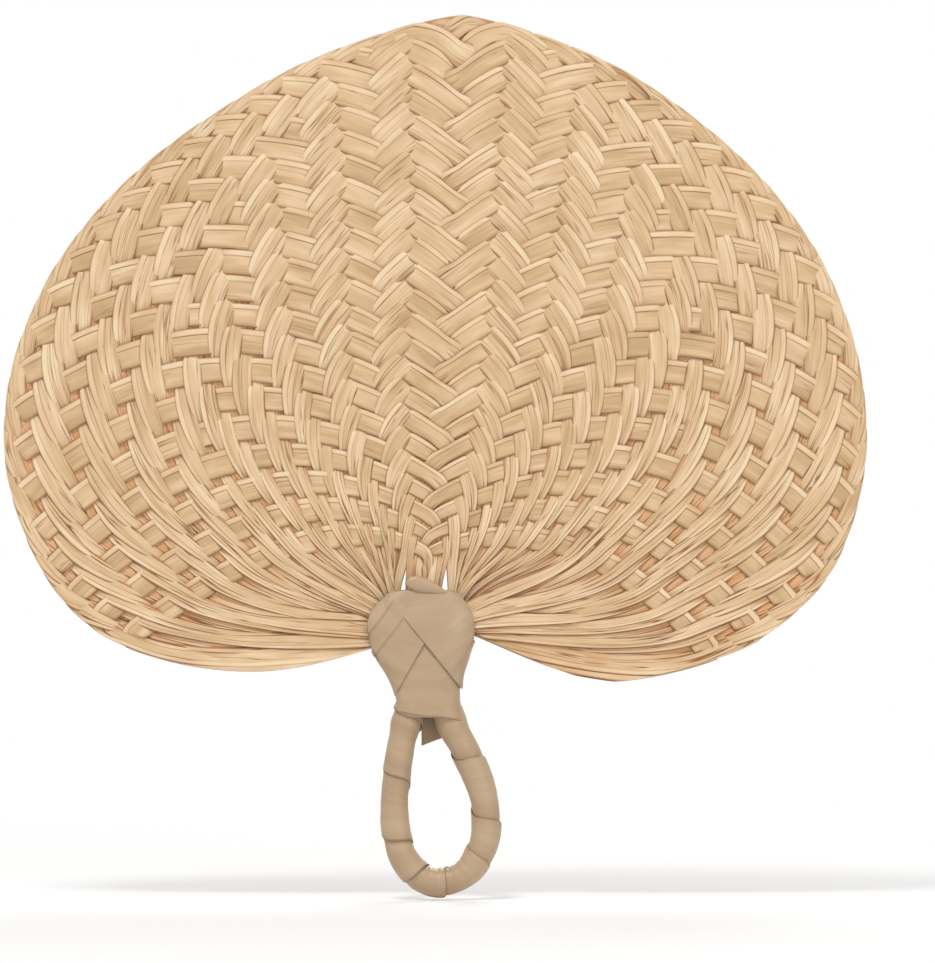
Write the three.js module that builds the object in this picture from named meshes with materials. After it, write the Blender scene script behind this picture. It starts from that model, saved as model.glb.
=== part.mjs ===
// A round hand fan plaited from folded cattail leaves, with a lashed neck and a wrapped hand loop.
// Millimetres, +Z up. The blade stands in the XZ plane with its face towards -Y, and the origin is
// at the middle of the hand loop's opening, where a hand holds the fan.
import * as THREE from 'three';

// Leaves of the blade
const LEAF_PAIRS = 24; // as many leaves rise from the neck on the left as on the right
const LEAF_THICKNESS = 0.55; // at the fold line in the middle of a leaf
const LEAF_WIDTH = 6.5; // of a leaf lying flat, before it is gathered at the neck
const LEAF_SHARE = 0.8; // share of the pitch between two leaves that a leaf covers
const LEAF_CLEARANCE = 0.3; // air between leaves that cross
const BUNDLE_DEPTH = 7.5; // of the gathered leaves, front to back, inside the lashing
const TURN_LEAF = 2; // the leaf, counted out from the middle, at which the chevron turns
const CENTRE_BULGE = 1.3; // leaves cross higher over each other on the centre line, by this factor

// The centre line, where left and right leaves cross: the top crossing, and the row spacing
const TOP_CROSSING = [8.3, 305.4];
const ROW_PITCH = 9.6;
const CLOSE_FROM_ROW = 12; // from this row on the rows draw together towards the neck
const ROW_CLOSING = 0.132;
const CENTRE_LEAN = 0.0787; // sideways drift of the centre line per row, and its growth
const CENTRE_BEND = 0.02046;

// Guide points, one for every four rows: where the leaves fold over at the rim, and how far the
// arch of a crossing leaf reaches
const GUIDE_ROWS = 4;
const RIM = {
  left: [[3.1, 308.5], [-56.8, 291.1], [-109.5, 256.9], [-152.2, 210.4], [-171.2, 150.8],
    [-155.3, 90.2], [-113.2, 58.2]],
  right: [[14.5, 310.0], [71.3, 289.9], [120.7, 254.5], [156.5, 205.4], [169.2, 146.2],
    [152.3, 88.2], [93.8, 49.5]],
};
const ARCH = {
  left: [[4.7, 314.0], [-20.9, 290.9], [-45.6, 271.0], [-68.8, 247.6], [-88.5, 215.4],
    [-79.5, 168.2], [-35.3, 109.5]],
  right: [[12.6, 314.0], [36.2, 288.2], [58.1, 267.8], [80.2, 245.2], [97.9, 215.4],
    [87.0, 168.2], [43.1, 109.5]],
};
// A folded leaf hugs the rim before it turns in. In leaf spacings: how far in the outermost fold
// lies, and over how many leaves the hug fades
const RIM_MARGIN = 0.45;
const RIM_HUG_LEAVES = 1.2;

// The neck: each side's leaves end along a slanted line inside the lashing
const NECK_LINE = {
  left: { inner: [-6.4, 81.8], outer: [-21.2, 62.9] },
  right: { inner: [-2.0, 81.8], outer: [9.4, 66.6] },
};
const INNER_ENTRY_ANGLE = -90; // degrees, the way the innermost leaf runs into the neck
const OUTER_ENTRY_ANGLE = 11; // the outermost leaf comes up from the lobe below the neck
const SWEEP_EASE = 0.29; // how strongly a leaf holds its direction at both ends of that sweep
const SWEEP_STEPS = 4; // straight lengths of a leaf between the weave and the neck

// The lashing: what a broad leaf wound round the neck looks like from outside, in rows from the
// loop up to the top of the lashing. Each row: middle, half width and half depth.
const NECK_BOTTOM = 34;
const NECK_ROW_PITCH = 8.667;
const NECK = [[-3.9, 14.5, 7.2], [-4.2, 13.3, 7.4], [-5.3, 16.1, 8.2], [-6.6, 19.6, 8.6],
  [-6.5, 21.6, 8.2], [-4.7, 17.0, 7.2], [-3.9, 11.0, 6.2]];
const NECK_SQUARENESS = 0.6; // 1 would be an ellipse, less is boxier
const WRAP_THICKNESS = 1; // of one layer of the lashing
const WRAP_GAP = 0.3; // between layers, and between the lashing and what it holds
const UNDER_WRAP = { bottom: 36, sideRim: 57, peak: 86, notchDepth: 0.6 };
const OVER_WRAP = { reach: 115, sideBottom: 42, endBottom: 76, rise: 1.4 };
const BAND = { bottom: 36.8, slant: 3, height: 7.5 };
const FOLD = { from: -13, to: 4.7, halfHeight: 2, halfDepth: 1.4, tipShare: 0.55, rings: 7 };
const RING_COLUMNS = 24; // around a lashing
const LAYER_ROWS = 6; // up a lashing, closer together near the waist
const BAND_ROWS = 3;
const ROW_CROWDING = 1.5;

// The trimmed leaf ends under the lashing, as the outline of one bound bundle
const CORE_DEPTH = 8;
const CORE_SHOULDER = [9.1, 60];
const CORE_FOOT = { left: -14.5, right: 8, z: 48.2 };
const CORE_HIP = [-20.5, 58.5];

// The hand loop: a bundle of leaf ends bent round, and the leaf that is wound over it
const LOOP_ROUTE = [[-10, 47], [-12.4, 34], [-14.9, 22], [-16.7, 8], [-16.7, -6], [-13.8, -19],
  [-6.5, -27.3], [2.5, -29.2], [11.5, -24.8], [17.6, -15], [19, -3], [16.2, 10], [10.6, 23],
  [4.6, 35], [2.4, 47]];
const LOOP_RADIUS = 4.4;
const ROUTE_SAMPLES = 600; // for measuring along the route
const LOOP_RINGS = 40;
const LOOP_SIDES = 8;
const WINDING_FROM = 18.5; // mm along the route, where the winding comes out of the lashing
const WINDING_PITCH = 20.5;
const WINDING_GAP = 0.8; // between one turn of the winding and the next
const WINDING_LIFT = 0.4; // off the bundle, so that its flat facets clear the bend
const TURN_STEPS = 12;
const WINDING_TIP = 2; // steps by which the winding's pointed ends are cut short
const TAIL = { top: [-3.9, 44], bottom: [-2.6, 24.5], width: 6, thickness: 0.8, back: 3,
  curl: 1, rings: 6 };

const straw = new THREE.MeshStandardMaterial({ color: 0xe0c095, roughness: 0.62, metalness: 0 });
const wrapLeaf = new THREE.MeshStandardMaterial({ color: 0xbba283, roughness: 0.5, metalness: 0 });

const weaveRise = LEAF_CLEARANCE / (2 * (1 - LEAF_SHARE)) + LEAF_THICKNESS / 4;
const centreRise = weaveRise * CENTRE_BULGE;
const lastRow = LEAF_PAIRS - 1;
const halfShare = LEAF_SHARE / 2;

// A smooth curve through evenly spaced guide points, carried on past its ends.
function along(points, t) {
  const i = Math.min(Math.max(Math.floor(t), 0), points.length - 2);
  const u = t - i;
  const [b, c] = [points[i], points[i + 1]];
  const a = points[i - 1] ?? b.map((v, k) => 2 * v - c[k]);
  const d = points[i + 2] ?? c.map((v, k) => 2 * v - b[k]);
  return b.map((v, k) => v + 0.5 * u * (c[k] - a[k]
    + u * (2 * a[k] - 5 * v + 4 * c[k] - d[k] + u * (3 * (v - c[k]) + d[k] - a[k]))));
}

function centreLine(row) {
  const closing = Math.max(0, row - CLOSE_FROM_ROW);
  return [
    TOP_CROSSING[0] - CENTRE_LEAN * row - CENTRE_BEND * row * row,
    TOP_CROSSING[1] - ROW_PITCH * row + ROW_CLOSING * closing * closing,
  ];
}

// How many leaf spacings a leaf lies inside the rim, `count` leaves in from the outermost fold. The
// outer edge of that fold has a count below zero, and stays inside too.
function insideRim(count) {
  const hug = 1 - Math.exp(-Math.max(count, 0) / RIM_HUG_LEAVES);
  return RIM_MARGIN + Math.max(count, -halfShare) - RIM_HUG_LEAVES * hug;
}

// The place where rising leaf p meets crossing leaf q in one half of the blade. Leaves that
// started on this side are p = -q at the centre line, and those folded back at the rim are p > 0.
function crossing(side, p, q) {
  const t = 1 - insideRim(q + 1 - p) / insideRim(2 * q + 1);
  const centre = centreLine(q);
  const arch = along(ARCH[side], q / GUIDE_ROWS);
  const rim = along(RIM[side], q / GUIDE_ROWS);
  return centre.map((c, k) => (1 - t) ** 2 * c + 2 * t * (1 - t) * arch[k] + t * t * rim[k]);
}

// Below the last crossing leaf the rising leaves sweep together into the neck.
function sweep(side, p, s) {
  const start = crossing(side, p, lastRow);
  const before = crossing(side, p, lastRow - 1);
  const share = (p + lastRow) / (2 * lastRow + 1);
  const { inner, outer } = NECK_LINE[side];
  const end = inner.map((v, k) => v + share * (outer[k] - v));
  const angle = THREE.MathUtils.degToRad(
    INNER_ENTRY_ANGLE + share * (OUTER_ENTRY_ANGLE - INNER_ENTRY_ANGLE));
  const mirror = side === 'left' ? 1 : -1;
  const entry = [mirror * Math.cos(angle), Math.sin(angle)];
  const reach = Math.hypot(end[0] - start[0], end[1] - start[1]) * SWEEP_EASE;
  const stride = Math.hypot(start[0] - before[0], start[1] - before[1]);
  return start.map((v, k) => {
    const first = v + (v - before[k]) / stride * reach;
    const second = end[k] - entry[k] * reach;
    return (1 - s) ** 3 * v + 3 * s * (1 - s) ** 2 * first
      + 3 * s * s * (1 - s) * second + s ** 3 * end[k];
  });
}

// Over two, under two: whether the crossing leaf lies in front. The steps run down and in
// towards the centre line, and turn at TURN_LEAF to follow the rim.
function crossingInFront(p, q) {
  const step = (q + TURN_LEAF - Math.abs(p - TURN_LEAF)) % 4;
  return step === 1 || step === 2;
}

// A section of a leaf: its two edges, its fold line, how far forward it lies and how thick it is.
function section(edgeA, edgeB, fold, forward, thickness = LEAF_THICKNESS) {
  return { edgeA, edgeB, fold, forward, thickness };
}

// It leaves the weave flat, at the level of its last crossing, and is then gathered: as its width
// shrinks it grows as much in depth.
function sweepSections(side, p, level) {
  const sections = [];
  for (let i = 1; i <= SWEEP_STEPS; i++) {
    const s = i / SWEEP_STEPS;
    const [a, b] = [sweep(side, p - halfShare, s), sweep(side, p + halfShare, s)];
    const width = Math.hypot(a[0] - b[0], a[1] - b[1]);
    const gathered = LEAF_THICKNESS * LEAF_WIDTH / width;
    const thickness = i === 1 ? LEAF_THICKNESS
      : Math.min(Math.max(gathered, LEAF_THICKNESS), BUNDLE_DEPTH);
    sections.push(section(a, b, sweep(side, p, s), i === 1 ? level : 0, thickness));
  }
  return sections;
}

// Leaf number i that rises on one side: up to the centre line, over to the other side, folded
// over at the rim there and down again to the neck.
function leafSections(side, i) {
  const other = side === 'left' ? 'right' : 'left';
  const leftInFront = i % 2 === 0;
  const atCentre = (side === 'left') === leftInFront ? centreRise : -centreRise;
  const level = (p, q) => crossingInFront(p, q) ? -weaveRise : weaveRise;
  const sections = sweepSections(side, -i, i < lastRow ? level(-i, lastRow) : atCentre).reverse();
  for (let q = lastRow; q > i; q--) {
    sections.push(section(crossing(side, -i - halfShare, q), crossing(side, -i + halfShare, q),
      crossing(side, -i, q), level(-i, q)));
  }
  sections.push(section(centreLine(i + halfShare), centreLine(i - halfShare), centreLine(i), atCentre));
  for (let p = 1 - i; p <= i; p++) {
    sections.push(section(crossing(other, p, i + halfShare), crossing(other, p, i - halfShare),
      crossing(other, p, i), -level(p, i)));
  }
  const back = i + 1;
  sections.push(section(crossing(other, back - halfShare, i + halfShare),
    crossing(other, back + halfShare, i - halfShare), crossing(other, back, i), 0));
  for (let q = back; q <= lastRow; q++) {
    sections.push(section(crossing(other, back - halfShare, q), crossing(other, back + halfShare, q),
      crossing(other, back, q), level(back, q)));
  }
  return sections.concat(sweepSections(other, back, back < LEAF_PAIRS ? level(back, lastRow) : 0));
}

// A closed solid through rings of points, with flat ends. Its faces are turned to point out.
function loft(rings, closed = false) {
  const sides = rings[0].length;
  const index = [];
  const last = closed ? rings.length : rings.length - 1;
  for (let i = 0; i < last; i++) {
    const next = (i + 1) % rings.length;
    for (let k = 0; k < sides; k++) {
      const [a, b] = [i * sides + k, i * sides + (k + 1) % sides];
      const [c, d] = [next * sides + (k + 1) % sides, next * sides + k];
      index.push(a, b, c, a, c, d);
    }
  }
  if (!closed) {
    const end = (rings.length - 1) * sides;
    for (let k = 1; k < sides - 1; k++) {
      index.push(0, k + 1, k, end, end + k, end + k + 1);
    }
  }
  const points = rings.flat();
  let volume = 0;
  for (let i = 0; i < index.length; i += 3) {
    const [a, b, c] = [points[index[i]], points[index[i + 1]], points[index[i + 2]]];
    volume += a.dot(b.clone().cross(c));
  }
  if (volume < 0) index.reverse();
  const geometry = new THREE.BufferGeometry();
  geometry.setAttribute('position',
    new THREE.Float32BufferAttribute(points.flatMap((v) => [v.x, v.y, v.z]), 3));
  geometry.setIndex(index);
  geometry.computeVertexNormals();
  return geometry;
}

function leafGeometry(sections) {
  return loft(sections.map(({ edgeA, edgeB, fold, forward, thickness }) => [
    new THREE.Vector3(edgeA[0], -forward + thickness / 2, edgeA[1]),
    new THREE.Vector3(edgeB[0], -forward + thickness / 2, edgeB[1]),
    new THREE.Vector3(fold[0], -forward - thickness / 2, fold[1]),
  ]));
}

const fan = new THREE.Group();
fan.name = 'woven_cattail_fan';

function add(name, geometry, material) {
  const mesh = new THREE.Mesh(geometry, material);
  mesh.name = name;
  fan.add(mesh);
}

for (const side of ['left', 'right']) {
  for (let i = 0; i < LEAF_PAIRS; i++) {
    const number = String(i + 1).padStart(2, '0');
    add(`leaf_${side}_${number}`, leafGeometry(leafSections(side, i)), straw);
  }
}

// The lashing's surface: angle 0 is the right side, 90 degrees the front. It lies `out` mm
// outside the neck's own outline.
function neckPoint(angle, z, out) {
  const [middle, width, depth] = along(NECK, (z - NECK_BOTTOM) / NECK_ROW_PITCH);
  const [c, s] = [Math.cos(angle), Math.sin(angle)];
  const round = (v) => Math.sign(v) * Math.abs(v) ** NECK_SQUARENESS;
  return new THREE.Vector3(middle + (width + out) * round(c), -(depth + out) * round(s), z);
}

// The lashing's upper edge is low at the sides, where the leaves enter, and peaks on both faces.
function lashingTop(angle) {
  const { sideRim, peak, notchDepth } = UNDER_WRAP;
  const share = THREE.MathUtils.smoothstep(Math.abs(Math.sin(angle)), notchDepth, 1);
  return sideRim + (peak - sideRim) * share;
}

// A layer of lashing between two heights at each angle, `out` mm outside the neck's outline.
function layer(angles, rows, bottom, top, out, closed) {
  return loft(angles.map((angle) => {
    const heights = Array.from({ length: rows }, (_, i) =>
      THREE.MathUtils.lerp(bottom(angle), top(angle), (i / (rows - 1)) ** ROW_CROWDING));
    return [
      ...heights.map((z) => neckPoint(angle, z, out)),
      ...heights.reverse().map((z) => neckPoint(angle, z, out - WRAP_THICKNESS)),
    ];
  }), closed);
}

const around = Array.from({ length: RING_COLUMNS }, (_, i) => i / RING_COLUMNS * 2 * Math.PI);
const outerLayer = WRAP_GAP + WRAP_THICKNESS;

add('knot_wrap_under', layer(around, LAYER_ROWS, () => UNDER_WRAP.bottom, lashingTop, 0, true),
  wrapLeaf);

// The second layer comes from the back, round the right side, and up across the face.
const overReach = THREE.MathUtils.degToRad(OVER_WRAP.reach);
const overAngles = around.map((_, i) => overReach * (2 * i / (RING_COLUMNS - 1) - 1));
const overBottom = (angle) => THREE.MathUtils.lerp(OVER_WRAP.sideBottom, OVER_WRAP.endBottom,
  (Math.abs(angle) / overReach) ** OVER_WRAP.rise);
add('knot_wrap_over', layer(overAngles, LAYER_ROWS, overBottom, lashingTop, outerLayer, false),
  wrapLeaf);

const bandBottom = (angle) => BAND.bottom - BAND.slant * Math.cos(angle);
const bandTop = (angle) => bandBottom(angle) + BAND.height;
add('neck_band', layer(around, BAND_ROWS, bandBottom, bandTop, outerLayer, true), wrapLeaf);

// The end of the lashing, folded over its upper edge on the face.
function foldGeometry() {
  const edge = neckPoint(Math.PI / 2, UNDER_WRAP.peak, 0);
  const middle = edge.y - WRAP_GAP;
  const height = UNDER_WRAP.peak + WRAP_GAP + FOLD.halfHeight;
  return loft(Array.from({ length: FOLD.rings }, (_, i) => {
    const share = i / (FOLD.rings - 1);
    const size = THREE.MathUtils.lerp(FOLD.tipShare, 1, Math.sin(Math.PI * share));
    return Array.from({ length: LOOP_SIDES }, (_, k) => {
      const angle = k / LOOP_SIDES * 2 * Math.PI;
      return new THREE.Vector3(THREE.MathUtils.lerp(FOLD.from, FOLD.to, share),
        middle + size * FOLD.halfDepth * Math.cos(angle),
        height + (size * Math.sin(angle) - (1 - size)) * FOLD.halfHeight);
    });
  }));
}
add('knot_fold', foldGeometry(), wrapLeaf);

// The bundle of trimmed leaf ends. The leaves of both sides end on its slanted shoulders.
function coreGeometry() {
  const down = (side, end) => {
    const { inner, outer } = NECK_LINE[side];
    const [dx, dz] = [outer[0] - inner[0], outer[1] - inner[1]];
    const clear = WRAP_GAP / Math.hypot(dx, dz) * (side === 'left' ? 1 : -1);
    const [x, z] = NECK_LINE[side][end];
    return [x - dz * clear, z + dx * clear];
  };
  const outline = [down('left', 'inner'), down('right', 'inner'), down('right', 'outer'),
    CORE_SHOULDER, [CORE_FOOT.right, CORE_FOOT.z], [CORE_FOOT.left, CORE_FOOT.z], CORE_HIP,
    down('left', 'outer')];
  return loft([-CORE_DEPTH / 2, CORE_DEPTH / 2].map((y) =>
    outline.map(([x, z]) => new THREE.Vector3(x, y, z))));
}
add('neck_core', coreGeometry(), straw);

// The loop's route as a smooth curve, and a point beside it at a radius and an angle.
const route = new THREE.CatmullRomCurve3(
  LOOP_ROUTE.map(([x, z]) => new THREE.Vector3(x, 0, z)), false, 'centripetal');
route.arcLengthDivisions = ROUTE_SAMPLES;
const routeLength = route.getLength();
function beside(distance, radius, angle) {
  const share = THREE.MathUtils.clamp(distance / routeLength, 0, 1);
  const [point, tangent] = [route.getPointAt(share), route.getTangentAt(share)];
  const outward = new THREE.Vector3(-tangent.z, 0, tangent.x);
  return point.addScaledVector(outward, radius * Math.cos(angle))
    .add(new THREE.Vector3(0, radius * Math.sin(angle), 0));
}

add('loop_core', loft(Array.from({ length: LOOP_RINGS + 1 }, (_, i) =>
  Array.from({ length: LOOP_SIDES }, (_, k) =>
    beside(i / LOOP_RINGS * routeLength, LOOP_RADIUS, k / LOOP_SIDES * 2 * Math.PI)))), straw);

// One leaf wound round the loop in an unbroken helix. It starts and ends as a narrow tip below
// the lashing.
function windingRings() {
  const [from, to] = [WINDING_FROM, routeLength - WINDING_FROM];
  const tip = WINDING_TIP / TURN_STEPS;
  const turns = (to - from) / WINDING_PITCH + 1 - 2 * tip;
  const inner = LOOP_RADIUS + WINDING_LIFT;
  const shares = [0, 0.25, 0.5, 0.75, 1];
  return Array.from({ length: Math.ceil(turns * TURN_STEPS) }, (_, i) => {
    const turn = tip + i / TURN_STEPS;
    const low = Math.max(from, from + WINDING_PITCH * (turn - 1) + WINDING_GAP);
    const high = Math.min(to, from + WINDING_PITCH * turn);
    const at = (share, radius) => beside(low + share * (high - low), radius, turn * 2 * Math.PI);
    return [
      ...shares.map((share) => at(share, inner + WRAP_THICKNESS)),
      ...shares.toReversed().map((share) => at(share, inner)),
    ];
  });
}

// The least distance between points of the winding that lie at least half a turn apart.
function leastGap(rings) {
  let least = Infinity;
  rings.forEach((ring, i) => rings.slice(i + TURN_STEPS / 2).forEach((other) => {
    for (const a of ring) {
      for (const b of other) {
        least = Math.min(least, a.distanceTo(b));
      }
    }
  }));
  return least;
}
const winding = windingRings();
console.log(`least gap between turns of the winding: ${leastGap(winding).toFixed(2)} mm`);
add('loop_winding', loft(winding), wrapLeaf);

// The winding's tail hangs down between the two ends of the loop, from under the lashing.
function tailGeometry() {
  return loft(Array.from({ length: TAIL.rings }, (_, i) => {
    const share = i / (TAIL.rings - 1);
    const x = THREE.MathUtils.lerp(TAIL.top[0], TAIL.bottom[0], share);
    const z = THREE.MathUtils.lerp(TAIL.top[1], TAIL.bottom[1], share);
    const y = TAIL.back + TAIL.curl * share * share;
    const half = TAIL.width / 2;
    return [[-half, 0], [half, 0], [half, TAIL.thickness], [-half, TAIL.thickness]].map(
      ([dx, dy]) => new THREE.Vector3(x + dx, y + dy, z));
  }));
}
add('wrap_tail', tailGeometry(), wrapLeaf);

export default fan;
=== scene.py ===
import math

import bpy
import numpy as np
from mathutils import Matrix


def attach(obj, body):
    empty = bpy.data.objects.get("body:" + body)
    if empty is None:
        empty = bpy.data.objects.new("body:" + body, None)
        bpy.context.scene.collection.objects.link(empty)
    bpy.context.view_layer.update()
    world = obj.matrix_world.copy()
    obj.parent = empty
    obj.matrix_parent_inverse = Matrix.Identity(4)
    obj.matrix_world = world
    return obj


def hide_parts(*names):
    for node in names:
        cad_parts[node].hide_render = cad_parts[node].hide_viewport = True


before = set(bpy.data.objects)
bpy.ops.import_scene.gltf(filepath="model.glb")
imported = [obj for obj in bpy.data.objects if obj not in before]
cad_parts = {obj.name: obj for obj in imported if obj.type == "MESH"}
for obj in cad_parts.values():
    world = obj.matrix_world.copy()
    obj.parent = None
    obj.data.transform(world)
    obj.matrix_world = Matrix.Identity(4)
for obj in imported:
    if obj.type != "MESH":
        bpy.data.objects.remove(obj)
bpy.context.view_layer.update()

# --- Blade leaves ---
# 48 dry cattail leaves, each one long soft strip. A leaf comes up from the neck, crosses the
# middle line, arches over the other half, folds round at the rim and runs down to the neck again.
# One long edge is turned over as a thin hem, which lies upwards where the leaf runs crosswise.
LEAF_PAIRS = 24
LAST_ROW = LEAF_PAIRS - 1
TURN_LEAF = 2  # the leaf at which the twill's steps turn round, to a chevron

# The middle line, where the two families meet: its top, and how it runs down from row to row
TOP_CROSSING = (8.3, 305.4)
ROW_PITCH = 9.6
CLOSE_FROM_ROW = 12
ROW_CLOSING = 0.132
CENTRE_LEAN = 0.0787
CENTRE_BEND = 0.02046

# Guide points from the tip down, one every GUIDE_ROWS rows: the rim at which the leaves fold, and
# the places towards which they arch on their way from the middle line to it
GUIDE_ROWS = 4
RIM = {
    "left": [(3.1, 308.5), (-56.8, 291.1), (-109.5, 256.9), (-152.2, 210.4), (-171.2, 150.8),
             (-155.3, 90.2), (-113.2, 58.2)],
    "right": [(14.5, 310.0), (71.3, 289.9), (120.7, 254.5), (156.5, 205.4), (169.2, 146.2),
              (152.3, 88.2), (93.8, 49.5)],
}
ARCH = {
    "left": [(4.7, 314.0), (-20.9, 290.9), (-45.6, 271.0), (-68.8, 247.6), (-88.5, 215.4),
             (-79.5, 168.2), (-35.3, 109.5)],
    "right": [(12.6, 314.0), (36.2, 288.2), (58.1, 267.8), (80.2, 245.2), (97.9, 215.4),
              (87.0, 168.2), (43.1, 109.5)],
}
RIM_MARGIN = 0.45  # in leaves: how far inside the rim the first one lies
RIM_HUG_LEAVES = 1.2  # the next ones lie closer to the rim, by this many leaves in all
PAST_RIM = -0.4  # in leaves: the furthest out that a fold's edge is reckoned

# The sheaves in which rising leaves go into the neck: numbers of the first and last leaf, and for
# both the place in the neck, slope in degrees, half width there and layer in front of the middle
SHEAVES = {
    "left": [(-23, -20, (-5.0, 84, -90, 1.9, 0.3), (-10.9, 84, -86, 1.9, 0.3)),
             (-19, 0, (-16.1, 84, -86, 1.35, -1.2), (-20.8, 78.5, -52, 1.6, -1.2)),
             (1, 24, (-21.5, 77.5, -30, 2.6, 1.3), (-21.2, 62.9, 11, 4.1, 1.3))],
    "right": [(-23, -20, (-5.2, 84, -90, 1.9, 0.3), (-0.9, 84, -86, 1.9, 0.3)),
              (-19, 0, (5.0, 84, -86, 1.35, -1.2), (9.8, 78.5, -52, 1.6, -1.2)),
              (1, 24, (10.2, 77.0, -30, 2.6, 1.3), (9.4, 66.6, 11, 4.1, 1.3))],
}
SWEEP_EASE = 0.29  # share of its sweep for which a leaf holds its direction at both ends

# The blade's edge from the tip to the neck, and how the leaves are drawn in to it
OUTLINE = {
    "left": [(9.4, 312.4), (-18.9, 306.1), (-62.6, 288.4), (-111.0, 257.0), (-142.1, 225.5),
             (-160.5, 194.0), (-169.6, 162.5), (-169.2, 129.1), (-155.8, 93.7), (-135.4, 70.0),
             (-107.4, 58.2), (-77.9, 53.6), (-54.3, 55.5), (-27.5, 63.0), (-10.0, 70.0)],
    "right": [(9.4, 312.4), (36.2, 306.1), (76.7, 288.4), (118.1, 257.0), (144.8, 225.5),
              (160.2, 194.0), (167.6, 162.5), (167.2, 129.1), (155.0, 93.7), (132.2, 70.0),
              (108.2, 58.2), (69.6, 49.4), (45.0, 55.0), (16.5, 67.7), (-2.0, 76.0)],
}
OUTLINE_MARGIN = 0.4  # leaves are drawn in from this far inside the edge on
DRAWN_IN = 0.85  # share of what lies past that line which they lose


def along(points, t):
    """Smooth curve through evenly spaced guide points, at the places t."""
    guide = np.array(points, float)
    guide = np.vstack([2 * guide[0] - guide[1], guide, 2 * guide[-1] - guide[-2]])
    i = np.clip(np.floor(t).astype(int), 0, len(points) - 2)
    u = (t - i)[:, None]
    a, b, c, d = (guide[i + k] for k in range(4))
    return b + 0.5 * u * (c - a + u * (2 * a - 5 * b + 4 * c - d + u * (3 * (b - c) + d - a)))


def centre_line(row):
    closing = np.maximum(0, row - CLOSE_FROM_ROW)
    return np.stack([TOP_CROSSING[0] - CENTRE_LEAN * row - CENTRE_BEND * row ** 2,
                     TOP_CROSSING[1] - ROW_PITCH * row + ROW_CLOSING * closing ** 2], axis=-1)


def inside_rim(count):
    """How far inside the rim the leaf of that count lies, in leaves: close to it they huddle."""
    hug = 1 - np.exp(-np.maximum(count, 0) / RIM_HUG_LEAVES)
    return RIM_MARGIN + np.maximum(count, PAST_RIM) - RIM_HUG_LEAVES * hug


def crossing(side, p, q):
    """Where rising leaf p meets crossing leaf q in one half of the blade."""
    p, q = np.broadcast_arrays(np.atleast_1d(np.asarray(p, float)), np.asarray(q, float))
    t = (1 - inside_rim(q + 1 - p) / inside_rim(2 * q + 1))[:, None]
    arch = along(ARCH[side], q / GUIDE_ROWS)
    rim = along(RIM[side], q / GUIDE_ROWS)
    return (1 - t) ** 2 * centre_line(q) + 2 * t * (1 - t) * arch + t * t * rim


def in_sheaf(side, p):
    """Rising leaf p in the neck: x, z, slope, half width and layer."""
    first, last, start, end = next(row for row in SHEAVES[side] if p < row[1] + 0.6)
    share = min(max((p - first) / (last - first), 0), 1)
    return np.array(start) + share * (np.array(end) - np.array(start))


def sweep(side, p, s):
    """The way of rising leaf p from the weave (s = 0) into the neck (s = 1)."""
    start = crossing(side, p, LAST_ROW)[0]
    before = crossing(side, p, LAST_ROW - 1)[0]
    end = in_sheaf(side, p)[:2]
    angle = math.radians(in_sheaf(side, p)[2])
    entry = np.array([math.cos(angle) * (1 if side == "left" else -1), math.sin(angle)])
    reach = np.linalg.norm(end - start) * SWEEP_EASE
    first = start + (start - before) / np.linalg.norm(start - before) * reach
    second = end - entry * reach
    s = s[:, None]
    return ((1 - s) ** 3 * start + 3 * s * (1 - s) ** 2 * first + 3 * s * s * (1 - s) * second
            + s ** 3 * end)


guides = np.linspace(0, len(OUTLINE["left"]) - 1, 300)
edge_line = np.concatenate([along(OUTLINE["left"], guides)[:0:-1], along(OUTLINE["right"], guides)])
edge_ahead = np.gradient(edge_line, axis=0)
edge_ahead /= np.linalg.norm(edge_ahead, axis=1)[:, None]


def within_outline(place):
    """Places near the rim, drawn in so that the edges of the leaves gather to one smooth line."""
    flat = place.reshape(-1, 2)
    nearest = np.argmin(((flat[:, None] - edge_line[None]) ** 2).sum(2), axis=1)
    outward = np.stack([-edge_ahead[nearest, 1], edge_ahead[nearest, 0]], axis=-1)
    past = ((flat - edge_line[nearest]) * outward).sum(1) + OUTLINE_MARGIN
    past = np.where((nearest > 0) & (nearest < len(edge_line) - 1), np.maximum(past, 0), 0)
    return (flat - DRAWN_IN * past[:, None] * outward).reshape(place.shape)


def crosses_in_front(p, q):
    """Over two, under two: whether crossing leaf q lies in front of rising leaf p."""
    return (q + TURN_LEAF - abs(p - TURN_LEAF)) % 4 in (1, 2)


def smooth(t):
    t = np.clip(t, 0, 1)
    return t * t * (3 - 2 * t)


def soften(values, radius):
    """Values averaged along a path with a bell of that many samples; the ends stay in place."""
    reach = int(3 * radius)
    bell = np.exp(-0.5 * (np.arange(-reach, reach + 1) / radius) ** 2)
    bell /= bell.sum()
    padded = np.concatenate([2 * values[:1] - values[reach:0:-1], values,
                             2 * values[-1:] - values[-2:-reach - 2:-1]])
    if values.ndim == 1:
        return np.convolve(padded, bell, "valid")
    return np.stack([np.convolve(column, bell, "valid") for column in padded.T], axis=-1)


CENTRE_BULGE = 1.15  # level at the middle line, where a leaf at a crossing lies at 1 or -1
LATTICE_STEP = 0.08  # steps in which a leaf's way is worked out, in crossings
SWEEP_STEPS = 60
NEAR_RIM_LEAVES = 2.5  # the rim makes itself felt over about this many leaves
RISING_FLAT = 0.24  # share of the way between two crossings before a leaf starts to dive
CROSSWISE_FLAT = 0.27
LEVEL_BY = 0.5  # share of its sweep after which a leaf has left the weave's levels


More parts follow.
